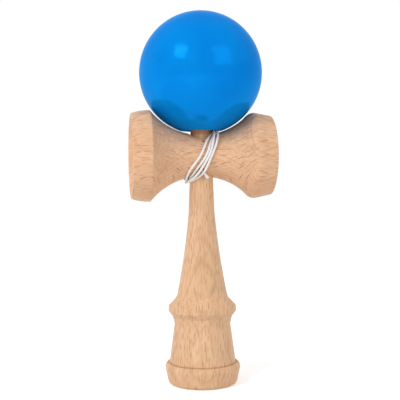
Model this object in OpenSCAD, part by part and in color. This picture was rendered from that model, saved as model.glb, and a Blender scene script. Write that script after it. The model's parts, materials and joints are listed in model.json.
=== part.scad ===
// Wooden cup and ball toy: a turned handle with a spike, a crosspiece with two cups
// that is pushed over the spike, and a lacquered ball tied on with a thin white cord.
// Millimetres. The handle stands on its base cup: origin at the centre of the base, +Z up,
// the big cup points to -X and the small cup to +X.

/* [Ball] */
// Diameter of the ball
ball_d = 60; // [54:1:66]
// Diameter of the straight part of the spike hole
spike_hole_d = 18.5; // [17:0.5:20]
// Width of the bevel round the mouth of the spike hole
spike_hole_bevel = 0.95; // [0.4:0.05:2]
// Depth of the spike hole, from its mouth to the bead chamber
spike_hole_depth = 38; // [32:1:42]
// Diameter of the bead chamber above the spike hole
bead_chamber_d = 6.2; // [5.6:0.1:6.6]
// Length of the bead chamber
bead_chamber_l = 10.4; // [9.6:0.1:12]
// Diameter of the cord hole through the top of the ball
cord_hole_d = 3; // [2.6:0.1:4]
// Rounding of the cord hole's upper lip
cord_hole_lip = 1.5; // [1:0.1:2]

/* [Crosspiece] */
// Length over both cups
crosspiece_l = 69; // [60:0.2:80]
// Height of the crosspiece axis above the ground
crosspiece_z = 112; // [104:0.2:120]
// Diameter of the waist where the handle passes through
waist_d = 20.4; // [19:0.2:22]
// How much larger the radius of the flares is than the ball's
flare_widen = 2.5; // [1.5:0.1:4]
// Gap between the flares and the edge of the ball's mouth
ball_gap = 0.3; // [0.25:0.05:1]
// Diameter of the big cup's shoulder
big_shoulder_d = 44.6; // [40:0.2:46]
// Rounding of the big cup's shoulder
big_shoulder_round = 1; // [0.4:0.1:1.4]
// How far the side of the big cup stands out from a straight taper
big_side_bulge = 0.35; // [0.1:0.05:0.5]
// Diameter of the big cup's rim
big_rim_d = 41.6; // [40:0.2:44]
// Opening of the big cup
big_cup_d = 38; // [34:0.5:38.5]
// Depth of the big cup
big_cup_depth = 7; // [5:0.25:8]
// Diameter of the small cup's shoulder
small_shoulder_d = 42.8; // [38:0.2:44]
// Rounding of the small cup's shoulder
small_shoulder_round = 4.5; // [1:0.1:5]
// Diameter of the small cup's rim
small_rim_d = 38.8; // [36:0.2:40]
// Opening of the small cup
small_cup_d = 34; // [30:0.5:34.5]
// Depth of the small cup
small_cup_depth = 6.5; // [5:0.25:7.5]
// Rounding of the cup rims
rim_round = 0.7; // [0.3:0.05:0.8]

/* [Handle] */
// Diameter of the handle just under the crosspiece
neck_d = 11.3; // [10:0.1:12]
// Diameter of the spike just above the crosspiece
spike_d = 10.5; // [9.6:0.1:11]
// Diameter of the spike at the start of its domed tip
spike_tip_d = 7.4; // [7:0.1:8.4]
// Diameter of the grip at its slim end, where the straight neck starts
shank_d = 12.6; // [11.8:0.1:14]
// Height of the grip's slim end
shank_z = 84.6; // [76:0.2:90]
// Diameter of the grip where it meets the collar
grip_d = 25; // [22:0.2:27]
// How far the outline of the grip is hollowed
grip_hollow = 0.58; // [0.3:0.02:1.2]
// Diameter of the collar
collar_d = 33.2; // [30:0.2:35]
// Height of the collar's lower edge
collar_low_z = 35.9; // [34.8:0.1:37]
// Height of the collar's upper edge
collar_high_z = 38.4; // [38:0.1:41]
// Height at which the slope of the collar meets the grip
grip_z = 42.8; // [42.2:0.1:48]
// Diameter of the foot at the groove under the collar
groove_d = 27.5; // [25:0.1:28.5]
// Height of the groove under the collar
groove_z = 29.6; // [26:0.2:31]
// Diameter of the foot where it meets the base
foot_d = 32.6; // [30:0.2:34]

/* [Base cup] */
// Diameter of the base at its widest
base_d = 37; // [35.4:0.2:40]
// Diameter of the base at the ground, before its edge is rounded
base_rim_d = 33.4; // [32.2:0.2:34.6]
// Rounding of the base's lower edge
base_rim_round = 2.4; // [1.4:0.1:2.6]
// Height of the widest place of the base
base_wide_z = 8.2; // [7:0.1:8.6]
// Height of the ledge on top of the base
base_ledge_z = 10.5; // [10.2:0.1:12]
// Opening of the base cup
base_cup_d = 26; // [22:0.5:27]
// Depth of the base cup
base_cup_depth = 6; // [5:0.25:7]

/* [Cord] */
// Diameter of the cord
cord_d = 1.15; // [1:0.05:1.25]
// Diameter of the cord's anchor hole through the crosspiece and the handle
anchor_hole_d = 2; // [1.8:0.1:2.4]
// Slope of the anchor hole, which comes out low at the front
anchor_slope = 44; // [40:1:48]
// Place of the anchor hole along the crosspiece
anchor_x = -1; // [-1.2:0.1:-0.8]
// Spacing of the layers and columns in which the turns are stacked
turn_pitch = 1.55; // [1.55:0.05:1.65]
// Diameter of the bead that the cord turns on inside the ball
bead_d = 5.8; // [5.2:0.1:5.9]
// Diameter of the knot under the bead
knot_d = 2.6; // [2.2:0.1:2.8]

/* [Clearances] */
// Room between the handle and the bore of the crosspiece
bore_clearance = 0.1; // [0.05:0.05:0.2]
// Room between the spike's tip and the seat that carries the ball
seat_clearance = 0.25; // [0.2:0.05:0.4]
// Room between the cord and the wood
cord_clearance = 0.2; // [0.2:0.05:0.3]
// More room where the winding bends round the handle and the spike
bend_clearance = 0.2; // [0.2:0.05:0.3]
// Room round the bead in its chamber, above it, and round the cord in the bead
bead_clearance = 0.25; // [0.15:0.05:0.3]

/* [Hidden] */
$fn = 96;
cut = 1;               // how far a cutting shape runs past the surface that it cuts
corner_steps = 8;      // straight pieces in a rounded corner
arc_steps = 32;        // straight pieces in a long curve

wood = "burlywood";
lacquer = "dodgerblue";
cotton = "whitesmoke";

ball_r = ball_d / 2;
waist_r = waist_d / 2;
cord_r = cord_d / 2;
spike_hole_r = spike_hole_d / 2;
bead_chamber_r = bead_chamber_d / 2;
tip_r = spike_tip_d / 2;

// Heights inside the ball, measured from its centre
spike_mouth_r = spike_hole_r + spike_hole_bevel;
spike_mouth_h = -sqrt(ball_r * ball_r - spike_mouth_r * spike_mouth_r);
drill_angle = 30;
chamber_mouth_h = spike_mouth_h + spike_hole_depth;
drill_end_h = chamber_mouth_h - (spike_hole_r - bead_chamber_r) * tan(drill_angle);
chamber_end_h = chamber_mouth_h + bead_chamber_l;
bead_h = chamber_end_h - bead_clearance - bead_d / 2;
knot_h = bead_h - bead_d / 2 - knot_d / 2;

// The flares of the crosspiece are flatter than the ball, so the ball is closest to them at its mouth
flare_r = ball_r + flare_widen;
mouth_drop = sqrt(pow(flare_r - ball_gap, 2) - spike_mouth_r * spike_mouth_r);
ball_rise = waist_r + flare_r - mouth_drop - spike_mouth_h;
ball_z = crosspiece_z + ball_rise;

// The domed tip of the spike carries the ball at the edge of the bead chamber
tip_reach = tip_r + seat_clearance;
tip_centre_z = ball_z + chamber_mouth_h - sqrt(tip_reach * tip_reach - bead_chamber_r * bead_chamber_r);
tenon_low_z = crosspiece_z - waist_r;
tenon_high_z = crosspiece_z + waist_r;

// Outlines

function unit(v) = v / norm(v);

// Points of the arc that rounds the corner b of the outline a, b, c
function corner(a, b, c, r) =
    let (u = unit(a - b), v = unit(c - b), half = acos(u * v) / 2)
    let (reach = r / tan(half), centre = b + unit(u + v) * r / sin(half))
    let (from = b + u * reach - centre, to = b + v * reach - centre)
    let (sweep = acos(from * to / (r * r)), turn = cross(from, to) > 0 ? 1 : -1)
    [for (i = [0 : corner_steps])
        let (w = turn * sweep * i / corner_steps)
        centre + [from.x * cos(w) - from.y * sin(w), from.x * sin(w) + from.y * cos(w)]];

// Outline through points [x, y, corner radius]: a radius of 0 keeps the corner sharp
function rounded(p) = [for (i = [0 : len(p) - 1])
    let (here = [p[i].x, p[i].y], before = p[max(i - 1, 0)], after = p[min(i + 1, len(p) - 1)])
    each (p[i].z == 0 ? [here] : corner([before.x, before.y], here, [after.x, after.y], p[i].z))];

// Points of an arc from a to b that lies the height rise to the left of the straight line
function bowed(a, b, rise) =
    let (chord = norm(b - a), along = (b - a) / chord, left = [-along.y, along.x])
    let (r = chord * chord / (8 * rise) + rise / 2)
    [for (i = [0 : arc_steps])
        let (s = (i / arc_steps - 0.5) * chord)
        (a + b) / 2 + along * s + left * (sqrt(r * r - s * s) - r + rise)];

// Radius of the sphere that cuts a cup of this opening and depth
function dish_r(opening, depth) = (opening * opening / 4 + depth * depth) / (2 * depth);

// Radius of the crosspiece's waist at a distance x from the handle's axis
function waist_at(x) = waist_r + flare_r - sqrt(flare_r * flare_r - x * x);

// Distance from the handle's axis at which the flare reaches a radius
function flare_x(r) = sqrt(flare_r * flare_r - pow(waist_r + flare_r - r, 2));

module turned(outline) {
    rotate_extrude() polygon(outline);
}

// Sphere that hollows a cup whose opening lies in the ground plane, mouth down
module dish(opening, depth) {
    r = dish_r(opening, depth);
    translate([0, 0, depth - r]) sphere(r = r);
}

// Straight hole for the end of the cord, from low at the front to high at the back
module anchor_hole() {
    mouth_depth = 1.6;
    mouth_d = 4.8;
    mouth_h = waist_r - mouth_depth;
    translate([anchor_x, 0, crosspiece_z]) rotate([anchor_slope - 90, 0, 0]) {
        cylinder(d = anchor_hole_d, h = 2 * (waist_r + cut), center = true);
        for (side = [0, 180]) {
            rotate([side, 0, 0]) translate([0, 0, mouth_h])
                cylinder(d1 = anchor_hole_d, d2 = mouth_d, h = mouth_depth + cut);
        }
    }
}

// Turned pieces

module handle() {
    base_soft = 3;
    ledge_inset = 0.5;
    ledge_round = 1.4;
    foot_corner = 0.3;
    groove_round = 2.5;
    // The cove under the collar rises slowly at first
    cove_rise = 0.85;
    cove_drop = 2.7;
    cove_round = 1.5;
    collar_low_round = 0.8;
    collar_high_round = 1;
    grip_round = 5;
    grip_outline = bowed([grip_d / 2, grip_z], [shank_d / 2, shank_z], grip_hollow);
    outline = rounded(concat([
        [0, 0, 0],
        [base_rim_d / 2, 0, base_rim_round],
        [base_d / 2, base_wide_z, base_soft],
        [base_d / 2 - ledge_inset, base_ledge_z, ledge_round],
        [foot_d / 2, base_ledge_z, foot_corner],
        [groove_d / 2, groove_z, groove_round],
        [groove_d / 2 + cove_rise, collar_low_z - cove_drop, cove_round],
        [collar_d / 2, collar_low_z, collar_low_round],
        [collar_d / 2, collar_high_z, collar_high_round],
        [grip_d / 2, grip_z, grip_round]],
        // The rounding takes the place of the curve's first points
        [for (i = [2 : arc_steps]) [grip_outline[i].x, grip_outline[i].y, 0]],
        [[neck_d / 2, tenon_low_z, 0], [spike_d / 2, tenon_high_z, 0]]));
    tip_outline = [for (a = [0 : 10 : 90]) [tip_r * cos(a), tip_centre_z + tip_r * sin(a)]];
    color(wood) difference() {
        turned(concat(outline, tip_outline));
        dish(base_cup_d, base_cup_depth);
        anchor_hole();
    }
}

module crosspiece() {
    end_x = crosspiece_l / 2;
    big_x = flare_x(big_shoulder_d / 2);
    small_x = flare_x(small_shoulder_d / 2);
    // The curve of the flares starts a little inside the shoulders, which leaves room to round them
    lead = 0.8;
    from_x = small_x - lead * small_shoulder_round;
    to_x = lead * big_shoulder_round - big_x;
    flares = [for (i = [0 : 2 * arc_steps])
        let (x = from_x + (to_x - from_x) * i / (2 * arc_steps))
        [waist_at(x), x, 0]];
    // The bulging side is two straight tapers whose corner is rounded over a share of their length
    blend = 0.6;
    bulge_h = big_side_bulge / (1 - blend / 2);
    bulge_x = (big_x + end_x) / 2;
    bulge_round = blend * pow((end_x - big_x) / 2, 2) / bulge_h;
    outline = rounded(concat(
        [[0, end_x, 0], [small_rim_d / 2, end_x, rim_round]],
        [[small_shoulder_d / 2, small_x, small_shoulder_round]],
        flares,
        [[big_shoulder_d / 2, -big_x, big_shoulder_round]],
        [[(big_shoulder_d + big_rim_d) / 4 + bulge_h, -bulge_x, bulge_round]],
        [[big_rim_d / 2, -end_x, rim_round], [0, -end_x, 0]]));
    color(wood) difference() {
        translate([0, 0, crosspiece_z]) rotate([0, 90, 0]) turned(outline);
        translate([end_x, 0, crosspiece_z]) rotate([0, -90, 0]) dish(small_cup_d, small_cup_depth);
        translate([-end_x, 0, crosspiece_z]) rotate([0, 90, 0]) dish(big_cup_d, big_cup_depth);
        handle_bore();
        anchor_hole();
    }
}

// Tapered bore that fits the handle, opened out a little round the spike
module handle_bore() {
    taper = (neck_d - spike_d) / (2 * (tenon_high_z - tenon_low_z));
    low_r = neck_d / 2 + bore_clearance + taper * waist_r;
    high_r = spike_d / 2 + bore_clearance - taper * waist_r;
    flare_low = 6.5;
    flare_widening = 0.36;
    translate([0, 0, crosspiece_z - 2 * waist_r])
        cylinder(r1 = low_r, r2 = high_r, h = 4 * waist_r);
    translate([0, 0, crosspiece_z + flare_low])
        cylinder(r1 = spike_d / 2 + bore_clearance, r2 = spike_d / 2 + bore_clearance
                 + flare_widening * waist_r, h = waist_r);
}

module ball() {
    lip_r = cord_hole_d / 2 + cord_hole_lip;
    lip_centre_h = sqrt(ball_r * ball_r - lip_r * lip_r) - cord_hole_lip;
    holes = [
        [0, -ball_r - cut], [spike_mouth_r + cut, -ball_r - cut], [spike_mouth_r + cut, spike_mouth_h - cut],
        [spike_hole_r, spike_mouth_h + spike_hole_bevel], [spike_hole_r, drill_end_h],
        [bead_chamber_r, chamber_mouth_h], [bead_chamber_r, chamber_end_h],
        [cord_hole_d / 2, chamber_end_h], [cord_hole_d / 2, ball_r + cut], [0, ball_r + cut]];
    color(lacquer) translate([0, 0, ball_z]) difference() {
        sphere(r = ball_r, $fn = 192);
        turned(holes);
        // The upper lip of the cord hole, rounded so that the cord runs over it
        translate([0, 0, lip_centre_h]) rotate_extrude() difference() {
            square([lip_r, cord_hole_lip + cut]);
            translate([lip_r, 0]) circle(r = cord_hole_lip);
        }
    }
}

module swivel_bead() {
    color(wood) translate([0, 0, ball_z + bead_h]) difference() {
        sphere(d = bead_d);
        cylinder(d = cord_d + 2 * bead_clearance, h = bead_d + 2 * cut, center = true);
    }
}

module bead_knot() {
    color(cotton) translate([0, 0, ball_z + knot_h]) sphere(d = knot_d, $fn = 32);
}

// Cord

function tangents(p) = [for (i = [0 : len(p) - 1]) unit(p[min(i + 1, len(p) - 1)] - p[max(i - 1, 0)])];

// Side directions that turn as little as they can from one ring to the next
function sides_along(t, done = []) =
    len(done) == len(t) ? done :
    let (last = len(done) == 0 ? [0.3, 0.2, 1] : done[len(done) - 1], here = t[len(done)])
    sides_along(t, concat(done, [unit(last - (last * here) * here)]));

// Closed tube of round section along a path, with triangles for faces
module tube(path, d, sides) {
    t = tangents(path);
    side = sides_along(t);
    last = len(path) - 1;
    points = [for (i = [0 : last]) for (k = [0 : sides - 1])
        let (a = 360 * k / sides)
        path[i] + d / 2 * (cos(a) * side[i] + sin(a) * cross(t[i], side[i]))];
    walls = [for (i = [0 : last - 1]) for (k = [0 : sides - 1])
        let (a = i * sides + k, b = i * sides + (k + 1) % sides)
        each [[a, a + sides, b], [b, a + sides, b + sides]]];
    caps = [for (k = [1 : sides - 2])
        each [[0, k, k + 1], [last * sides, last * sides + k + 1, last * sides + k]]];
    polyhedron(points, concat(walls, caps));
}

// The winding goes round the waist, left of the handle below and right of the spike above.
// A turn passes eight stations: bottom, low front, front, high front, top, high back, back, low back.
// The turns lie side by side at the front and the back, and in two layers of two elsewhere.
turns = 4;
loop_rings = 24;
winding_sides = 6;
run_sides = 8;
winding_start = -0.25;
winding_end = turns - 0.5;
// Each station's place along the crosspiece: first turn, step to the next turn, step to the next layer
low_x = [-6.4, 2.2, 3.4];
middle_x = [-1.6, 1.95, 3.9];
high_x = [2.2, 1.85, 2.4];
back_x = [-3.2, 1.95, 3.9];

function layer(n) = floor(n / 2);
function column(n) = n - 2 * layer(n);
function spread(x, n) = x[0] + column(n) * x[1] + layer(n) * x[2];
function beside(d) = d / 2 + cord_r + cord_clearance + bend_clearance;

// Place along the crosspiece and height over the first layer, at station s counted from the start
function station(s) =
    let (n = floor(s / 8), k = s - 8 * n)
    k == 0 ? [-beside(neck_d) - (1 - column(n)) * turn_pitch, layer(n) * turn_pitch] :
    k == 1 ? [spread(low_x, n), layer(n) * turn_pitch] :
    k == 2 ? [spread(middle_x, n), 0] :
    k == 3 ? [spread(high_x, n), layer(n) * turn_pitch] :
    k == 4 ? [beside(spike_d) + column(n) * turn_pitch, layer(n) * turn_pitch] :
    k == 5 ? [spread(high_x, n), layer(n) * turn_pitch] :
    k == 6 ? [spread(back_x, n + 1), 0] :
    [spread(low_x, n + 1), layer(n + 1) * turn_pitch];

// Smooth curve through b and c with a and d as the places before and after them
function between(a, b, c, d, f) =
    b + 0.5 * f * (c - a + f * (2 * a - 5 * b + 4 * c - d + f * (3 * (b - c) + d - a)));

// Keeps a point of the winding clear of the handle or the spike
function clear_of_handle(p) =
    let (need = beside(p.z < 0 ? neck_d : spike_d), near = norm([p.x, p.y]))
    abs(p.z) < waist_r - cord_d || near > need ? p : [p.x * need / near, p.y * need / near, p.z];

// Point of the winding after t turns, measured from the centre of the crosspiece
function winding_point(t) =
    let (first = floor(8 * t + 0.001), f = 8 * t - first, s = [for (i = [-1 : 2]) station(first + i)])
    let (x = between(s[0][0], s[1][0], s[2][0], s[3][0], f))
    let (height = s[1][1] + (s[2][1] - s[1][1]) * (1 - cos(180 * f)) / 2)
    let (r = waist_at(x) + cord_r + cord_clearance + height)
    clear_of_handle([x, -r * sin(360 * t), -r * cos(360 * t)]);

winding_turns = [for (i = [0 : loop_rings * (winding_end - winding_start)])
    winding_point(winding_start + i / loop_rings)];
winding_last = len(winding_turns) - 1;
// Both ends run on straight for one cord diameter
winding_path = concat(
    [winding_turns[0] + cord_d * unit(winding_turns[0] - winding_turns[1])],
    winding_turns,
    [winding_turns[winding_last] + [0, cord_d, 0]]);

// Least gap between the turns: neighbours along the cord, less than a third of a turn away, don't count
winding_gap = min([for (i = [0 : winding_last]) for (j = [i + 8 : 1 : winding_last])
    norm(winding_turns[i] - winding_turns[j])]) - cord_d;
echo(str("Least gap of the cord winding to itself: ", winding_gap, " mm"));

// From the winding under the mouth of the spike hole, up the back of the ball and into its cord hole.
// Points from the centre of the ball, about 1 mm off its surface.
up_the_back = [
    [7.85, 4.2, -28.1], [7.6, 6, -29.2], [7, 8.5, -29.3], [6.5, 11.5, -28.2], [5.9, 14.5, -26.8],
    [5.2, 18.5, -24.4], [4.6, 22.5, -20.9], [4, 26, -16.4], [3.4, 28.8, -11], [2.9, 30.4, -5.3],
    [2.4, 30.9, 0.8], [2, 30.3, 6.4], [1.6, 28.2, 12.8], [1.2, 24.6, 18.9], [0.8, 19.5, 24.1],
    [0.5, 13.5, 27.9], [0.2, 8, 30], [0, 4.6, 30.8], [0, 2.6, 30.9], [0, 1.3, 30.5],
    [0, 0.4, 29.6], [0, 0, 28.3], [0, 0, 26.5]];

// The tail of the cord, from its sealed end at the front, through the anchor hole to the back.
// Points from the centre of the crosspiece.
tail_front = [
    [2.8, -6.4, -11.3], [2, -7, -10.7], [1.2, -7.5, -10], [0.4, -7.8, -9.2], [-0.4, -7.7, -8.3],
    [-0.9, -7.2, -7.4], [-1, -6.5, -6.4]];
tail_back = [
    [-1, 7, 6.8], [-1, 7.9, 7.5], [-1.1, 8.8, 7.9], [-1.2, 9.7, 7.5], [-1.5, 10.5, 6.2],
    [-1.8, 11.1, 4.4]];

module cord_winding() {
    color(cotton) translate([0, 0, crosspiece_z]) tube(winding_path, cord_d, winding_sides);
}

module cord_to_ball() {
    start = winding_path[winding_last + 2] - [0, 0, ball_rise];
    end = [0, 0, knot_h + knot_d / 2 + bead_clearance];
    color(cotton) translate([0, 0, ball_z])
        tube(concat([start, start + [0, cord_d, 0]], up_the_back, [end]), cord_d, run_sides);
}

module cord_tail() {
    meets = winding_path[0];
    before = meets + cord_d * unit(meets - winding_path[1]);
    color(cotton) translate([0, 0, crosspiece_z])
        tube(concat(tail_front, tail_back, [before, meets]), cord_d, run_sides);
}

handle();
crosspiece();
ball();
swivel_bead();
bead_knot();
cord_winding();
cord_to_ball();
cord_tail();
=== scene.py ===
# %% [markdown]
# # A cup and ball toy
#
# The toy is a turned beech handle with a spike, a beech crosspiece with a cup at each end, a blue
# lacquered ball that sits on the spike, and one thin white cord that ties the ball to the handle.
# The wooden pieces arrive ready made, at their real size, as the fixed frame. This lesson gives them
# their finish, lays the cord, and sets up a plain studio.

# %% Load the frame
import json
import math
import bpy
import numpy as np
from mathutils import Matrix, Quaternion, Vector


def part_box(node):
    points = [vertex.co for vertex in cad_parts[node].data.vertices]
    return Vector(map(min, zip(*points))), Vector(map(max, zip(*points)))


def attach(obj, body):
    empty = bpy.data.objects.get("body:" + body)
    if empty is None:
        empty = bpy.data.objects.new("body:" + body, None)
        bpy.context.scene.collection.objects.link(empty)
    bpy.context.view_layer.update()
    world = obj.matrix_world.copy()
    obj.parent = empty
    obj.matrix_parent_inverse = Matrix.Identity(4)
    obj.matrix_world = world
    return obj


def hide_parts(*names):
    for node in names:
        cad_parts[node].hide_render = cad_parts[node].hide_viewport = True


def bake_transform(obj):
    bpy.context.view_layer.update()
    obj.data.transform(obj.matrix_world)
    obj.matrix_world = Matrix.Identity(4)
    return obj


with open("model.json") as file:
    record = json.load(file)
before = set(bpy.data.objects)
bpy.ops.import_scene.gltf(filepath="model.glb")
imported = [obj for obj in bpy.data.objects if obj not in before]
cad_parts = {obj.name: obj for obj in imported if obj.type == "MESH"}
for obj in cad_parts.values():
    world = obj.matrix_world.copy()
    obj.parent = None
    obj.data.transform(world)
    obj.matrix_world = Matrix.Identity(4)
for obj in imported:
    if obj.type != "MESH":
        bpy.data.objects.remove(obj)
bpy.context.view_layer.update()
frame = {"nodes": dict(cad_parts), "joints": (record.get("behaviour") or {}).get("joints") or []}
nodes = frame["nodes"]
print("nodes:", sorted(nodes))

# %% [markdown]
# ## Landmarks
#
# Every later step needs a few places on the toy: the axis of the crosspiece, the centre of the ball
# and the radius of the ball. They could be typed in again, but then they could drift from the wooden
# pieces, so they are read from the frame.

# %% Places that the frame gives
MM = 0.001
crosspiece_low, crosspiece_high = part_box("crosspiece")
ball_low, ball_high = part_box("ball")
crosspiece_z = (crosspiece_low.z + crosspiece_high.z) / 2
ball_r = (ball_high.x - ball_low.x) / 2
spin_joint = next(j for j in frame["joints"] if j["name"] == "ball_spin")
ball_z = spin_joint["pos_m"][2]
print(f"crosspiece axis {crosspiece_z:.4f}, ball centre {ball_z:.4f}, ball radius {ball_r:.4f}")

# %% [markdown]
# ## The camera
#
# The toy is seen nearly from the front, from a little to the big cup's side and less than half a metre
# away. So near, the base is seen from above and the ball's mouth from below. A camera could be dragged
# into place by eye. Here its distance, height and turn are numbers, because each of them shows
# in the outline, and the small roll is the toy's slight lean.

# %% Place the camera
CAMERA_DISTANCE = 0.412
CAMERA_HEIGHT = 0.1056
CAMERA_AZIMUTH = math.radians(-8.1)
CAMERA_ROLL = math.radians(0.45)
AIM = Vector((-0.00074, 0, 0.0903))
LENS = 75.5
SENSOR_WIDTH = 36
camera_data = bpy.data.cameras.new("camera")
camera_data.sensor_width = SENSOR_WIDTH
camera_data.lens = LENS
camera = bpy.data.objects.new("camera", camera_data)
bpy.context.scene.collection.objects.link(camera)
camera.location = (
    math.sin(CAMERA_AZIMUTH) * CAMERA_DISTANCE,
    -math.cos(CAMERA_AZIMUTH) * CAMERA_DISTANCE,
    CAMERA_HEIGHT,
)
sight = (AIM - camera.location).normalized()
camera.rotation_mode = "QUATERNION"
camera.rotation_quaternion = Quaternion(sight, CAMERA_ROLL) @ sight.to_track_quat("-Z", "Y")
bpy.context.scene.camera = camera
print("camera at", [round(c, 4) for c in camera.location])

# %% [markdown]
# ## The cord's route
#
# One cord does all the work. It is knotted under a bead inside the ball, comes out at the top, runs down
# the ball's back, goes round the crossing of handle and crosspiece four times and ends in a slanted hole
# that it is pulled through. The route could be drawn by hand as a curve. The turns are a formula instead,
# because each one has to pass the handle on one side and the spike on the other, and the turns have to
# lie beside and over each other without cutting into the wood.

# %% Sizes of the cord and of what it goes round, in millimetres
CORD_D = 1.15
CORD_R = CORD_D / 2
WAIST_R = 10.2
FLARE_WIDEN = 2.5    # how much larger the radius of the flares is than the ball's
FLARE_R = ball_r / MM + FLARE_WIDEN
NECK_D = 11.3
SPIKE_D = 10.5
SEAT = 0.06          # room between the cord and the wood
TURN_PITCH = 1.33    # from turn to turn, side by side or one over the other
TURNS = 4
WINDING_START = -0.25
WINDING_END = TURNS - 0.5
STEPS_PER_TURN = 96
print(f"cord {CORD_D} mm thick, {TURNS} turns round a waist of {2 * WAIST_R} mm")

# %% [markdown]
# A turn passes eight stations: one under the crosspiece beside the handle's neck, three up the front, one
# on top beside the spike and three down the back. Evenly spaced turns would look like a machine's work.
# These were wound by hand, so each turn has its own places on the front, low, in the middle and high, and
# a smooth curve joins the stations. On the back, which shows less, one even pitch is enough.

# %% One turn passes eight stations
STATIONS = 8
# Millimetres from the handle's axis, turn by turn
LOW_X = (-7.3, -4.3, -2.8, -0.4)
MIDDLE_X = (-1.8, 1, 2.35, 3.65)
HIGH_X = (2.05, 4.15, 4.95, 6.9)
BACK_FIRST_X = -3.2
BACK_PITCH = 1.95
BACK_X = [BACK_FIRST_X + BACK_PITCH * turn for turn in range(TURNS + 1)]
ON_STATION = 0.001   # a point this near to a station, in stations, counts as on it


def beside(diameter):
    """Distance of the cord's middle from the axis of the handle or the spike."""
    return diameter / 2 + CORD_R + 2 * SEAT


def station(step):
    """Place along the crosspiece, and height over the first layer, at one station."""
    turn, place = divmod(step, STATIONS)
    layer, column = divmod(turn, 2)
    # The lead-in before the first turn uses the first turn's places
    begun = max(turn, 0)
    next_turn = min(turn + 1, TURNS - 1)
    height = layer * TURN_PITCH
    next_height = ((turn + 1) // 2) * TURN_PITCH
    bottom = (-beside(NECK_D) - (1 - column) * TURN_PITCH, height)
    low = (LOW_X[begun], height)
    front = (MIDDLE_X[begun], 0)
    high = (HIGH_X[begun], height)
    top = (beside(SPIKE_D) + column * TURN_PITCH, height)
    back = (BACK_X[turn + 1], 0)
    low_back = (LOW_X[next_turn], next_height)
    return (bottom, low, front, high, top, high, back, low_back)[place]


def waist_at(x):
    """Radius of the crosspiece at a distance x from the handle's axis."""
    return WAIST_R + FLARE_R - math.sqrt(FLARE_R**2 - x * x)


def smooth_step(a, b, c, d, f):
    """Value between b and c on a smooth curve through a, b, c and d."""
    return b + 0.5 * f * (c - a + f * (2 * a - 5 * b + 4 * c - d + f * (3 * (b - c) + d - a)))


def winding_point(t):
    """Middle of the cord after t turns, from the centre of the crosspiece."""
    first = math.floor(STATIONS * t + ON_STATION)
    f = STATIONS * t - first
    stations = [station(first + i) for i in range(-1, 3)]
    x = smooth_step(*[s[0] for s in stations], f)
    climb = stations[2][1] - stations[1][1]
    height = stations[1][1] + climb * (1 - math.cos(math.pi * f)) / 2
    r = waist_at(x) + CORD_R + SEAT + height
    y, z = -r * math.sin(2 * math.pi * t), -r * math.cos(2 * math.pi * t)
    # Over and under the waist the cord has to keep clear of the spike and of the neck
    need = beside(NECK_D if z < 0 else SPIKE_D)
    near = math.hypot(x, y)
    if abs(z) > WAIST_R - CORD_D and near < need:
        x, y = x * need / near, y * need / near
    return np.array((x, y, z))


steps = round(STEPS_PER_TURN * (WINDING_END - WINDING_START))
winding = [winding_point(WINDING_START + i / STEPS_PER_TURN) for i in range(steps + 1)]
print(f"winding: {len(winding)} points")

# %% [markdown]
# The two ends of the route aren't turns, so they follow listed points: up the back of the ball
# and into its cord hole on one end, and through the slanted hole to the sealed end on the other.

# %% The ends of the route, in millimetres
# From the centre of the ball
UP_THE_BACK = [
    (7.85, 4.2, -28.1), (7.6, 6, -29.2), (7, 8.5, -29.3), (6.5, 11.5, -28.2), (5.9, 14.5, -26.8),
    (5.2, 18.5, -24.4), (4.6, 22.5, -20.9), (4, 26, -16.4), (3.4, 28.8, -11), (2.9, 30.4, -5.3),
    (2.4, 30.9, 0.8), (2, 30.3, 6.4), (1.6, 28.2, 12.8), (1.2, 24.6, 18.9), (0.8, 19.5, 24.1),
    (0.5, 13.5, 27.9), (0.2, 8, 30), (0, 4.6, 30.8), (0, 2.6, 30.9), (0, 1.3, 30.5),
    (0, 0.4, 29.6), (0, 0, 28.3), (0, 0, 26.5)]
# From the centre of the crosspiece
TAIL_FRONT = [
    (2.4, -6.7, -11), (1.7, -7.2, -10.2), (1.1, -7.55, -9.4), (0.4, -7.7, -8.6), (-0.3, -7.4, -7.8),
    (-0.8, -6.9, -7), (-1, -6.4, -6.3)]
TAIL_BACK = [
    (-1, 7, 6.8), (-1, 7.4, 7.2), (-1.05, 8.1, 7.75), (-1.1, 9.1, 8), (-1.2, 10.25, 7.7),
    (-1.35, 11.1, 6.95), (-1.55, 11.55, 5.7), (-1.8, 11.55, 4.2), (-2.2, 11.3, 2.6)]
knot_low, knot_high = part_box("bead_knot")
knot_z = (knot_low.z + knot_high.z) / 2
crossing = np.array((0, 0, crosspiece_z / MM))
ball_centre = np.array((0, 0, ball_z / MM))
knot_end = np.array((0, 0, knot_z / MM))


def resample(points, spacing):
    """Points at even distances along a line."""
    points = np.array(points)
    along = np.concatenate([[0], np.cumsum(np.linalg.norm(np.diff(points, axis=0), axis=1))])
    marks = np.linspace(0, along[-1], round(along[-1] / spacing) + 1)
    return np.stack([np.interp(marks, along, points[:, i]) for i in range(3)], axis=1)


def relax(points, rounds):
    """Takes the corners out of a line by moving each point towards the middle of its neighbours."""
    points = points.copy()
    for _ in range(rounds):
        points[1:-1] += 0.5 * ((points[:-2] + points[2:]) / 2 - points[1:-1])
    return points


RING_SPACING = 0.16
RELAX_ROUNDS = 30
corners = [
    knot_end,
    *[ball_centre + p for p in reversed(UP_THE_BACK)],
    *[crossing + p for p in reversed(winding)],
    *[crossing + p for p in reversed(TAIL_BACK)],
    *[crossing + p for p in reversed(TAIL_FRONT)],
]
route = resample(relax(resample(corners, RING_SPACING), RELAX_ROUNDS), RING_SPACING)
cord_length = RING_SPACING * (len(route) - 1)
print(f"cord: {len(route)} rings, {cord_length:.1f} mm long")

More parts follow.
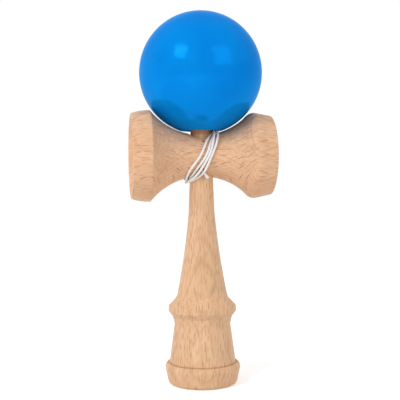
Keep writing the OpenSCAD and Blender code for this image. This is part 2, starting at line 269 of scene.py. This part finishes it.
# %% [markdown]
# ## The cord's surface
#
# The real cord is a fine braid, just over a millimetre thick. A plain tube would look like wire, and a
# braid of separate strands would take millions of faces. So each ring of the tube swells and narrows
# where two sets of strands cross, one winding to the left and one to the right. At its free end the
# cord is melted into a small hard bead, so the tube thickens there and closes in a dome.

# %% Build the braided tube
CORD_SIDES = 24
BRAID_STRANDS = 3
BRAID_LAY = 4.8
BRAID_DEPTH = 0.09
SEAL_LENGTH = 3
SEAL_GROWTH = 0.75
DOME_TIP = 0.02              # keeps the dome's last ring from shrinking to a point
FIRST_SIDE = (0.3, 0.2, 1)   # any direction in which the line doesn't start


def ring_frames(points):
    """A pair of side directions for each point that turns as little as it can along the line."""
    heading = np.gradient(points, axis=0)
    heading /= np.linalg.norm(heading, axis=1)[:, None]
    side = np.cross(heading[0], FIRST_SIDE)
    sides = []
    for h in heading:
        side = side - (side @ h) * h
        side = side / np.linalg.norm(side)
        sides.append(side)
    sides = np.array(sides)
    return sides, np.cross(heading, sides)


def braid_radius(along, angle):
    """Radius of the braid: it swells where a left and a right strand cross."""
    lean = 2 * math.pi * BRAID_STRANDS * along / BRAID_LAY
    left = np.cos(BRAID_STRANDS * angle - lean)
    right = np.cos(BRAID_STRANDS * angle + lean)
    return CORD_R * (1 - BRAID_DEPTH * (0.5 - 0.5 * left * right))


def tube_object(name, points, radii, closed=False):
    """A tube of rings as a mesh object. points and radii are in millimetres."""
    sides, tops = ring_frames(points)
    count, around = radii.shape
    angle = 2 * np.pi * np.arange(around) / around
    reach = np.cos(angle)[None, :, None] * sides[:, None] + np.sin(angle)[None, :, None] * tops[:, None]
    verts = ((points[:, None] + radii[:, :, None] * reach) * MM).reshape(-1, 3)
    rings = count if closed else count - 1
    faces = []
    for i in range(rings):
        j = (i + 1) % count
        for k in range(around):
            m = (k + 1) % around
            faces.append((i * around + k, i * around + m, j * around + m, j * around + k))
    if not closed:
        faces.append(tuple(reversed(range(around))))
        faces.append(tuple(range((count - 1) * around, count * around)))
    mesh = bpy.data.meshes.new(name)
    mesh.from_pydata(verts.tolist(), [], faces)
    mesh.polygons.foreach_set("use_smooth", [True] * len(mesh.polygons))
    made = bpy.data.objects.new(name, mesh)
    bpy.context.scene.collection.objects.link(made)
    return made


along = RING_SPACING * np.arange(len(route))
angles = 2 * np.pi * np.arange(CORD_SIDES) / CORD_SIDES
radii = braid_radius(along[:, None], angles[None, :])
to_end = cord_length - along
seal = np.clip(1 - to_end / SEAL_LENGTH, 0, 1)[:, None]
sealed_r = CORD_R * (1 + SEAL_GROWTH)
radii = radii * (1 - seal) + seal * (CORD_R + (sealed_r - CORD_R) * np.sqrt(seal))
dome = np.clip(to_end / sealed_r, DOME_TIP, 1)[:, None]
radii = radii * np.sqrt(1 - (1 - dome) ** 2)
cord = tube_object("cord", route, radii)
print(f"cord: {len(cord.data.vertices)} vertices")

# %% [markdown]
# ## The knot
#
# Under the bead the cord ends in a pulled-tight overhand knot. A sphere would do at this size, but a
# look up the ball's hole would show it. A trefoil is the closed form of an overhand knot, so the same
# tube along a small trefoil gives the lobes of the real one.

# %% Build the knot
KNOT_RING = 0.8
KNOT_WAVE = 0.42
KNOT_STEPS = 180
KNOT_SIDES = 12
KNOT_SQUEEZE = 0.85
turn = np.linspace(0, 2 * np.pi, KNOT_STEPS, endpoint=False)
bulge = KNOT_RING + KNOT_WAVE * np.cos(3 * turn)
knot_line = np.stack([
    bulge * np.cos(2 * turn),
    bulge * np.sin(2 * turn),
    knot_z / MM + KNOT_WAVE * np.sin(3 * turn)], axis=1)
knot_radii = np.full((KNOT_STEPS, KNOT_SIDES), KNOT_SQUEEZE * CORD_R)
knot = tube_object("cord_knot", knot_line, knot_radii, closed=True)
print(f"knot: {len(knot.data.vertices)} vertices")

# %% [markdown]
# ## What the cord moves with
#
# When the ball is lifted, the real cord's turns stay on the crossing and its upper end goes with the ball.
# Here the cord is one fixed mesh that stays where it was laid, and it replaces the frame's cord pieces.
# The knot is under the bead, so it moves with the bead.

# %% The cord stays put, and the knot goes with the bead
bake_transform(cord)
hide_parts("cord_winding", "cord_to_ball", "cord_tail")
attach(knot, "bead")
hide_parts("bead_knot")
print(f"cord declared: {cord_length * MM:.3f} m")

# %% [markdown]
# ## Small helpers for materials
#
# A material is a tree of nodes. Each node could be made and linked with four or five lines, but then
# the tree is hard to read. These helpers make a node and fill its sockets in one line: a value that
# is itself a socket is linked, and anything else is set.


# %% Node helpers
def add_node(tree, kind, inputs=None, **settings):
    """Adds a node. inputs maps a socket's name or number to a value or to the socket that feeds it."""
    made = tree.nodes.new(kind)
    for name, value in settings.items():
        setattr(made, name, value)
    for name, value in (inputs or {}).items():
        if isinstance(value, bpy.types.NodeSocket):
            tree.links.new(value, made.inputs[name])
        else:
            made.inputs[name].default_value = value
    return made


def maths(tree, operation, *values, clamp=False):
    """Result of a Math node."""
    return add_node(tree, "ShaderNodeMath", dict(enumerate(values)), operation=operation,
                    use_clamp=clamp).outputs[0]


def vector_maths(tree, operation, *values, output=0):
    """Result of a Vector Math node. Dot product, length and distance come out of output 1."""
    return add_node(tree, "ShaderNodeVectorMath", dict(enumerate(values)),
                    operation=operation).outputs[output]


def ramp(tree, value, low, high, start=0.0, end=1.0):
    """Value that goes smoothly from start to end while the input goes from low to high."""
    return add_node(tree, "ShaderNodeMapRange", {0: value, 1: low, 2: high, 3: start, 4: end},
                    interpolation_type="SMOOTHSTEP").outputs[0]


def blend_colour(tree, share, a, b, mode="MIX"):
    """Mix of two colours."""
    mixed = add_node(tree, "ShaderNodeMix", {0: share, 6: a, 7: b}, data_type="RGBA", blend_type=mode)
    return mixed.outputs[2]


def noise(tree, position, scales, detail=2.0):
    """Noise from 0 to 1 whose scales are in waves per metre along the three directions."""
    stretched = vector_maths(tree, "MULTIPLY", position, scales)
    made = add_node(tree, "ShaderNodeTexNoise", {"Vector": stretched, "Scale": 1.0, "Detail": detail})
    return made.outputs["Fac"]


def new_group(name, inputs, outputs):
    """An empty shader node group with named sockets, and its two end nodes."""
    tree = bpy.data.node_groups.new(name, "ShaderNodeTree")
    for title, kind, default in inputs:
        made = tree.interface.new_socket(title, in_out="INPUT", socket_type=kind)
        if default is not None:
            made.default_value = default
    for title, kind in outputs:
        tree.interface.new_socket(title, in_out="OUTPUT", socket_type=kind)
    return tree, tree.nodes.new("NodeGroupInput"), tree.nodes.new("NodeGroupOutput")


def new_material(name):
    """A new material, its node tree and its Principled shader."""
    material = bpy.data.materials.new(name)
    material.use_nodes = True
    return material, material.node_tree, material.node_tree.nodes["Principled BSDF"]


print("node helpers ready")

# %% [markdown]
# ## Beech
#
# Beech is a pale pinkish wood. It has growth rings, which show as arches where a turned shape cuts
# through them, and rays: thin plates that run from the pith outwards. A ray that is cut across shows as a
# short dark dash along the grain, and these dashes are what tells beech from other pale woods.
# A photo texture would show seams on a turned shape. So the figure is worked out in the solid: each
# point is placed along the grain, out from the pith and across both, and rings and rays follow from that.
# The handle, the crosspiece, the bead and the bare inside of the ball all use it, so it is a group.

# %% The beech figure as a node group
PITH_DISTANCE = 0.055
beech, beech_in, beech_out = new_group(
    "beech_figure",
    [("Position", "NodeSocketVector", None), ("Centre", "NodeSocketVector", (0, 0, 0)),
     ("Grain", "NodeSocketVector", (0, 0, 1)), ("Outward", "NodeSocketVector", (0, -1, 0)),
     ("Ring Width", "NodeSocketFloat", 0.0017),
     ("Light Wood", "NodeSocketColor", (0.85, 0.53, 0.325, 1)),
     ("Dark Wood", "NodeSocketColor", (0.66, 0.365, 0.2, 1)),
     ("Ray", "NodeSocketColor", (0.38, 0.155, 0.065, 1))],
    [("Color", "NodeSocketColor"), ("Roughness", "NodeSocketFloat"), ("Height", "NodeSocketFloat")])
grain, outward = beech_in.outputs["Grain"], beech_in.outputs["Outward"]
point = vector_maths(beech, "SUBTRACT", beech_in.outputs["Position"], beech_in.outputs["Centre"])
sideways = vector_maths(beech, "CROSS_PRODUCT", grain, outward)
from_side = vector_maths(beech, "DOT_PRODUCT", point, sideways, output=1)
from_pith = vector_maths(beech, "DOT_PRODUCT", point, outward, output=1)
on_grain = vector_maths(beech, "DOT_PRODUCT", point, grain, output=1)
place = add_node(beech, "ShaderNodeCombineXYZ", {0: from_side, 1: from_pith, 2: on_grain}).outputs[0]
print("beech_figure: position split along the grain")

# %% [markdown]
# The rings are shells round a pith that lies behind the toy, and slow noise makes them waver. A ring
# starts pale in spring and ends in a narrow darker line, so each one is a ramp with a sharp end.

# %% Growth rings
WAVER_SCALES = (45, 45, 11)
WAVER_DEPTH = 0.006
STREAK_SCALES = (150, 150, 12)
STREAK_STRENGTH = 1.2
waver = maths(beech, "SUBTRACT", noise(beech, place, WAVER_SCALES, 2.0), 0.5)
radius = add_node(beech, "ShaderNodeCombineXYZ",
                  {0: from_side, 1: maths(beech, "ADD", from_pith, PITH_DISTANCE)}).outputs[0]
pith_radius = vector_maths(beech, "LENGTH", radius, output=1)
wavering = maths(beech, "MULTIPLY_ADD", waver, WAVER_DEPTH, pith_radius)
ring_count = maths(beech, "DIVIDE", wavering, beech_in.outputs["Ring Width"])
ring = maths(beech, "FRACT", ring_count)
ring_year = add_node(beech, "ShaderNodeTexWhiteNoise", {"W": maths(beech, "FLOOR", ring_count)},
                     noise_dimensions="1D").outputs["Value"]
late_wood = maths(beech, "MULTIPLY", ramp(beech, ring, 0.4, 0.92), ramp(beech, ring, 0.94, 1.0, 1.0, 0.0))
year_dark = maths(beech, "MULTIPLY_ADD", ring_year, 0.35, 0.1)
streak = noise(beech, place, STREAK_SCALES, 3.0)
darkness = maths(beech, "MULTIPLY_ADD", maths(beech, "SUBTRACT", streak, 0.5), STREAK_STRENGTH,
                 maths(beech, "MULTIPLY_ADD", late_wood, year_dark, 0.2), clamp=True)
ringed = blend_colour(beech, darkness, beech_in.outputs["Light Wood"], beech_in.outputs["Dark Wood"])
print("beech_figure: growth rings")

# %% [markdown]
# The rays are cells that are long outwards, narrow sideways and a few millimetres long on the grain.
# A surface that cuts them across shows dashes. One that runs along them shows broad flecks, which stand
# out far less than the dashes do, so the rays fade where the surface faces sideways.
# The pores are far finer than the rays: they show only as thin broken lines along the grain, so a noise
# that is stretched along the grain is enough for them.

# %% Rays and pores
RAY_SCALES = (2700, 90, 190)
RAY_STRENGTH = 0.84
PATCH_SCALES = (90, 90, 30)
PORE_SCALES = (1500, 1500, 70)
PORE_STRENGTH = 0.6
cells = vector_maths(beech, "MULTIPLY", place, RAY_SCALES)
ray_cell = add_node(beech, "ShaderNodeTexVoronoi", {"Vector": cells, "Scale": 1.0}, feature="F1")
ray_body = ramp(beech, ray_cell.outputs["Distance"], 0.2, 0.42, 1.0, 0.0)
ray_luck = add_node(beech, "ShaderNodeSeparateColor", {0: ray_cell.outputs["Color"]}).outputs[0]
ray_patch = ramp(beech, noise(beech, place, PATCH_SCALES, 1.0), 0.3, 0.55, 0.5, 1.0)
facing = add_node(beech, "ShaderNodeTexCoord").outputs["Normal"]
across_ray = vector_maths(beech, "DOT_PRODUCT", facing, sideways, output=1)
fleck_pale = ramp(beech, maths(beech, "ABSOLUTE", across_ray), 0.88, 0.98, 1.0, 0.2)
ray_dark = maths(beech, "MULTIPLY", ramp(beech, ray_luck, 0.2, 0.85), fleck_pale)
ray = maths(beech, "MULTIPLY", maths(beech, "MULTIPLY", ray_body, ray_patch), ray_dark)
pores = noise(beech, place, PORE_SCALES, 3.0)
pore_dark = ramp(beech, pores, 0.47, 0.68, 0.0, PORE_STRENGTH)
rayed = blend_colour(beech, maths(beech, "MULTIPLY", ray, RAY_STRENGTH), ringed, beech_in.outputs["Ray"])
final = blend_colour(beech, pore_dark, rayed, beech_in.outputs["Dark Wood"])
rough = maths(beech, "MULTIPLY_ADD", pore_dark, 0.3, maths(beech, "MULTIPLY_ADD", ray, 0.12, 0.46))
dents = maths(beech, "MULTIPLY_ADD", ray, -0.6, maths(beech, "MULTIPLY", pore_dark, -1.0))
beech.links.new(final, beech_out.inputs["Color"])
beech.links.new(rough, beech_out.inputs["Roughness"])
beech.links.new(dents, beech_out.inputs["Height"])
print("beech_figure: rays and pores")

# %% [markdown]
# The handle and the crosspiece are cut from the same kind of board, but the grain runs up the handle and
# along the crosspiece. The side of the board that faces outwards differs too, which moves the arches.
# Each could have a tree of its own. With the group they are three short calls that differ in a few values:
# the crosspiece's rays, for example, are darker than the handle's. A shallow bump makes rays and pores dents.

# %% Beech for each wooden piece
DENT_DEPTH = 0.08 * MM
SATIN = 0.25


def beech_surface(tree, position, **values):
    """The beech group in a material, with its own values."""
    placed = add_node(tree, "ShaderNodeGroup", node_tree=beech)
    tree.links.new(position, placed.inputs["Position"])
    for name, value in values.items():
        placed.inputs[name.replace("_", " ")].default_value = value
    return placed


def object_position(tree):
    """Place of the shaded point in the toy's own frame, in metres."""
    return add_node(tree, "ShaderNodeTexCoord").outputs["Object"]


def bump(tree, height, depth, strength):
    """Normal of a surface whose height goes up and down by a depth in metres."""
    return add_node(tree, "ShaderNodeBump",
                    {"Height": height, "Distance": depth, "Strength": strength}).outputs[0]


def beech_material(name, **values):
    """Satin sanded beech with its grain along one direction."""
    material, tree, shader = new_material(name)
    wood = beech_surface(tree, object_position(tree), **values)
    tree.links.new(wood.outputs["Color"], shader.inputs["Base Color"])
    tree.links.new(wood.outputs["Roughness"], shader.inputs["Roughness"])
    tree.links.new(bump(tree, wood.outputs["Height"], DENT_DEPTH, 0.6), shader.inputs["Normal"])
    shader.inputs["Specular IOR Level"].default_value = SATIN
    return material


def dress(piece, material):
    """Gives a piece one material all over."""
    piece.data.materials.clear()
    piece.data.materials.append(material)


handle_beech = beech_material("beech_handle", Grain=(0, 0, 1), Outward=(-0.16, -0.987, 0),
                              Light_Wood=(0.86, 0.57, 0.345, 1))
crosspiece_beech = beech_material("beech_crosspiece", Centre=(0, 0, crosspiece_z), Grain=(1, 0, 0),
                                  Outward=(0, -0.8, 0.6), Light_Wood=(0.87, 0.545, 0.335, 1),
                                  Ray=(0.32, 0.1, 0.032, 1))
bead_beech = beech_material("beech_bead", Grain=(0, 0, 1), Outward=(0.8, -0.6, 0))
dress(nodes["handle"], handle_beech)
dress(nodes["crosspiece"], crosspiece_beech)
dress(nodes["swivel_bead"], bead_beech)
print("beech on handle, crosspiece and swivel_bead")

# %% [markdown]
# Three tints set these pieces apart from plain wood. The spike is darker than the grip: this is painted
# shade, standing for the ball's shadow on it. The corner on the foot's ledge is darkened with painted
# shade too. The crosspiece has one small dark spot beside the spike. These could be separate pieces,
# but they have no thickness, so they are tints of the wood.


# %% Painted shade on the spike and in the ledge's corner, and the dark spot
def tint(material, share_of, colour):
    """Multiplies a wood's colour by another one, where share_of gives more than nothing."""
    tree = material.node_tree
    base = tree.nodes["Principled BSDF"].inputs["Base Color"]
    share = share_of(tree, object_position(tree))
    mixed = blend_colour(tree, share, base.links[0].from_socket, colour, mode="MULTIPLY")
    tree.links.new(mixed, base)


SPIKE_START = crosspiece_z + 9.5 * MM
SPIKE_FADE = 1.5 * MM
LEDGE_Z = 10.5 * MM
LEDGE_EDGE = 0.1 * MM
LEDGE_FADE = 0.6 * MM
DARK_SPOT_CENTRE = (0.1 * MM, -7.6 * MM, crosspiece_z + 6.8 * MM)
DARK_SPOT_R = 0.75 * MM
# Painted shade: the spike's wood under the ball is darkened
SPIKE_PAINTED_SHADE = (0.82, 0.66, 0.5, 1)
# Painted shade in the corner over the foot's ledge
LEDGE_PAINTED_SHADE = (0.6, 0.46, 0.34, 1)
DARK_SPOT_COLOUR = (0.2, 0.1, 0.04, 1)


def height_of(tree, position):
    """Height of a point over the base cup's rim, in metres."""
    return add_node(tree, "ShaderNodeSeparateXYZ", {0: position}).outputs["Z"]


def on_spike(tree, position):
    """One on the spike, nothing under it."""
    return ramp(tree, height_of(tree, position), SPIKE_START, SPIKE_START + SPIKE_FADE)


def on_ledge(tree, position):
    """Strong in the corner over the foot's ledge, and fading upwards."""
    height = height_of(tree, position)
    above = ramp(tree, height, LEDGE_Z - LEDGE_EDGE, LEDGE_Z + LEDGE_EDGE)
    fading = ramp(tree, height, LEDGE_Z + LEDGE_EDGE, LEDGE_Z + LEDGE_FADE, 0.8, 0.0)
    return maths(tree, "MULTIPLY", above, fading)


def on_dark_spot(tree, position):
    """Strong inside the dark spot, fading to its edge."""
    away = vector_maths(tree, "DISTANCE", position, DARK_SPOT_CENTRE, output=1)
    return ramp(tree, away, 0.5 * DARK_SPOT_R, DARK_SPOT_R, 0.9, 0.0)


# Painted shade on the spike, where the ball shades it
tint(handle_beech, on_spike, SPIKE_PAINTED_SHADE)
# Painted shade in the corner over the foot's ledge, fading upwards
tint(handle_beech, on_ledge, LEDGE_PAINTED_SHADE)
tint(crosspiece_beech, on_dark_spot, DARK_SPOT_COLOUR)
print("spike, ledge and pin knot tinted")

# %% [markdown]
# ## The ball's lacquer
#
# The ball is wood under several coats of blue gloss lacquer, which ends at the bevel of the hole, so the
# inside of the holes is bare. The two could be two pieces. One material is closer to the real thing:
# the distance from the ball's centre tells skin from inside. The lacquer isn't quite flat: a slow swell and
# a fine orange peel bend its reflections, and its colour is a little deeper where the lacquer is thick.

# %% Lacquer outside, bare wood inside
LACQUER_DEPTH = 1.3 * MM
LACQUER_EDGE = 0.2 * MM
DEEP_BLUE = (0.0003, 0.222, 0.725, 1)
THIN_BLUE = (0.0004, 0.266, 0.79, 1)
THINNESS_SCALES = (42, 42, 42)
SWELL_SCALES = (220, 220, 220)
PEEL_SCALES = (1300, 1300, 1300)
PEEL_SHARE = 0.01
SKIN_DEPTH = 0.3 * MM
lacquer, lacquer_tree, lacquer_shader = new_material("blue_lacquer")
ball_point = object_position(lacquer_tree)
from_centre = vector_maths(lacquer_tree, "SUBTRACT", ball_point, (0, 0, ball_z))
depth = vector_maths(lacquer_tree, "LENGTH", from_centre, output=1)
bare = ramp(lacquer_tree, depth, ball_r - LACQUER_DEPTH, ball_r - LACQUER_DEPTH - LACQUER_EDGE)
inside = beech_surface(lacquer_tree, ball_point, Grain=(0, 0, 1), Outward=(0.6, 0.8, 0))
thinness = noise(lacquer_tree, ball_point, THINNESS_SCALES, 2.0)
blue = blend_colour(lacquer_tree, ramp(lacquer_tree, thinness, 0.3, 0.7), DEEP_BLUE, THIN_BLUE)
ball_colour = blend_colour(lacquer_tree, bare, blue, inside.outputs["Color"])
swell = noise(lacquer_tree, ball_point, SWELL_SCALES, 1.0)
peel = noise(lacquer_tree, ball_point, PEEL_SCALES, 1.0)
skin = maths(lacquer_tree, "MULTIPLY_ADD", peel, PEEL_SHARE, swell)
lacquer_tree.links.new(ball_colour, lacquer_shader.inputs["Base Color"])
lacquer_tree.links.new(bump(lacquer_tree, skin, SKIN_DEPTH, 0.6), lacquer_shader.inputs["Normal"])
print("blue skin and bare inside on ball")

# %% [markdown]
# The gloss mirrors the studio, and low on the ball it mirrors the two flares of the crosspiece as dark
# shapes. A plain white gloss would lay a grey haze over the blue and a white rim round the ball. The mirror
# images on the real ball are blue, so a quarter of the surface's light is mirrored in the lacquer's own
# colour, and a thin clear coat over it adds a little white near the rim. Bare wood has neither.

# %% Gloss of the lacquer
BLUE_MIRROR = 0.25
CLEAR_COAT = 0.25
MIRROR_EDGE = (0.15, 0.75, 1, 1)
polish = ramp(lacquer_tree, thinness, 0.2, 0.8, 0.13, 0.17)
roughness = maths(lacquer_tree, "MULTIPLY_ADD", bare, 0.35, polish)
lacquer_tree.links.new(roughness, lacquer_shader.inputs["Roughness"])
for socket, share in (("Metallic", BLUE_MIRROR), ("Coat Weight", CLEAR_COAT)):
    outside_only = maths(lacquer_tree, "MULTIPLY_ADD", bare, -share, share)
    lacquer_tree.links.new(outside_only, lacquer_shader.inputs[socket])
lacquer_shader.inputs["Coat Roughness"].default_value = 0.12
lacquer_shader.inputs["Coat IOR"].default_value = 1.18
lacquer_shader.inputs["Specular IOR Level"].default_value = 0.0
lacquer_shader.inputs["Specular Tint"].default_value = MIRROR_EDGE
dress(nodes["ball"], lacquer)
print("lacquer on ball")

# %% [markdown]
# ## The cord's fibres
#
# The braid itself is in the mesh. What is left is the fibre: fine threads that catch the light, and the soft
# grey of handling in patches. Hair strands would be heavy on so thin a cord, so noise does both.

# %% White cord
THREAD_SHADE = (0.9, 0.89, 0.87, 1)
THREAD_LIGHT = (0.96, 0.955, 0.945, 1)
HANDLING_GREY = (0.8, 0.75, 0.7, 1)
FIBRE_SCALES = (3800, 3800, 3800)
SOIL_SCALES = (300, 300, 300)
FIBRE_DEPTH = 0.05 * MM
white, white_tree, white_shader = new_material("white_cord")
cord_point = object_position(white_tree)
fibre = noise(white_tree, cord_point, FIBRE_SCALES, 2.0)
soil = noise(white_tree, cord_point, SOIL_SCALES, 2.0)
thread = blend_colour(white_tree, ramp(white_tree, fibre, 0.35, 0.7), THREAD_SHADE, THREAD_LIGHT)
soiled = blend_colour(white_tree, ramp(white_tree, soil, 0.55, 0.8, 0.0, 0.25), thread, HANDLING_GREY)
white_tree.links.new(soiled, white_shader.inputs["Base Color"])
white_tree.links.new(ramp(white_tree, fibre, 0.2, 0.8, 0.7, 0.85), white_shader.inputs["Roughness"])
white_tree.links.new(bump(white_tree, fibre, FIBRE_DEPTH, 0.5), white_shader.inputs["Normal"])
white_shader.inputs["Sheen Weight"].default_value = 0.2
dress(cord, white)
dress(knot, white)
print("fibres on cord and knot")

# %% [markdown]
# ## The studio
#
# The toy stands on a white table in front of a white wall. A floor that only catches light would look grey
# unless the lamps were so bright that the toy washed out. So, to the camera and in mirror images, the floor
# has some light of its own. It still catches the toy's shadow and sends light up to its underside.


# %% Floor
def seen_directly(tree):
    """One for a ray that shows a surface or its mirror image, and nothing for a ray that lights the toy."""
    rays = add_node(tree, "ShaderNodeLightPath").outputs
    seen = maths(tree, "MAXIMUM", rays["Is Camera Ray"], rays["Is Glossy Ray"])
    return maths(tree, "MAXIMUM", seen, rays["Is Transmission Ray"])


FLOOR_SIZE = 6.0
FLOOR_GLOW = 0.4
half = FLOOR_SIZE / 2
floor_corners = [(-half, -half, 0), (half, -half, 0), (half, half, 0), (-half, half, 0)]
floor_mesh = bpy.data.meshes.new("floor")
floor_mesh.from_pydata(floor_corners, [], [(0, 1, 2, 3)])
floor = bpy.data.objects.new("floor", floor_mesh)
bpy.context.scene.collection.objects.link(floor)
paper, paper_tree, paper_shader = new_material("floor_paper")
paper_shader.inputs["Base Color"].default_value = (0.9, 0.9, 0.9, 1)
paper_shader.inputs["Roughness"].default_value = 0.9
paper_shader.inputs["Specular IOR Level"].default_value = 0.0
paper_shader.inputs["Emission Color"].default_value = (1, 1, 1, 1)
glow = maths(paper_tree, "MULTIPLY", seen_directly(paper_tree), FLOOR_GLOW)
paper_tree.links.new(glow, paper_shader.inputs["Emission Strength"])
floor_mesh.materials.append(paper)
print("floor ready")

# %% [markdown]
# Most of the light comes from all round, as in a photographer's white tent. Lamps on every side could do it,
# but the scene's sky is simpler and smoother. One strength can't serve both its uses: the background has to
# be pure white, and the toy needs less light than that gives. So the sky is white where it is seen, and
# dimmer where it lights the toy.

# %% White surroundings
SKY_LIGHT = 0.66
world = bpy.data.worlds.new("studio")
bpy.context.scene.world = world
world.use_nodes = True
sky_tree = world.node_tree
sky = sky_tree.nodes["Background"]
sky.inputs["Color"].default_value = (1, 1, 1, 1)
sky_strength = maths(sky_tree, "MULTIPLY_ADD", seen_directly(sky_tree), 1 - SKY_LIGHT, SKY_LIGHT)
sky_tree.links.new(sky_strength, sky.inputs["Strength"])
print("sky ready")

# %% [markdown]
# Two softboxes give the light a direction: a key lamp on the left, which shapes the wood, and a weaker
# fill lamp on the right. Each should also show on the ball as a soft glint. The key lamp's own glint would
# be far too bright, so the lamp is hidden from reflections. A dim card just in front of it takes its place
# in them, and shows nowhere else.

# %% Lamps
LAMP_AIM = Vector((0, 0, 0.1))


def softbox(name, place, size, power):
    """A square lamp that points at the middle of the toy."""
    data = bpy.data.lights.new(name, "AREA")
    data.size = size
    data.energy = power
    lamp = bpy.data.objects.new(name, data)
    bpy.context.scene.collection.objects.link(lamp)
    lamp.location = place
    lamp.rotation_mode = "QUATERNION"
    lamp.rotation_quaternion = (LAMP_AIM - Vector(place)).to_track_quat("-Z", "Y")
    return lamp


key = softbox("key_lamp", place=(-0.785, -0.691, 0.817), size=0.45, power=5.75)
key.visible_glossy = False
fill = softbox("fill_lamp", place=(0.641, -0.873, 0.668), size=0.7, power=1.1)
card = softbox("reflection_card", place=(-0.775, -0.682, 0.808), size=0.44, power=1.1)
card.visible_diffuse = False
print("lamps:", key.name, fill.name, card.name)

# %% [markdown]
# ## The view
#
# The colours are written as they should look, so the picture uses the plain Standard view.

# %% Finish
bpy.context.scene.view_settings.view_transform = "Standard"
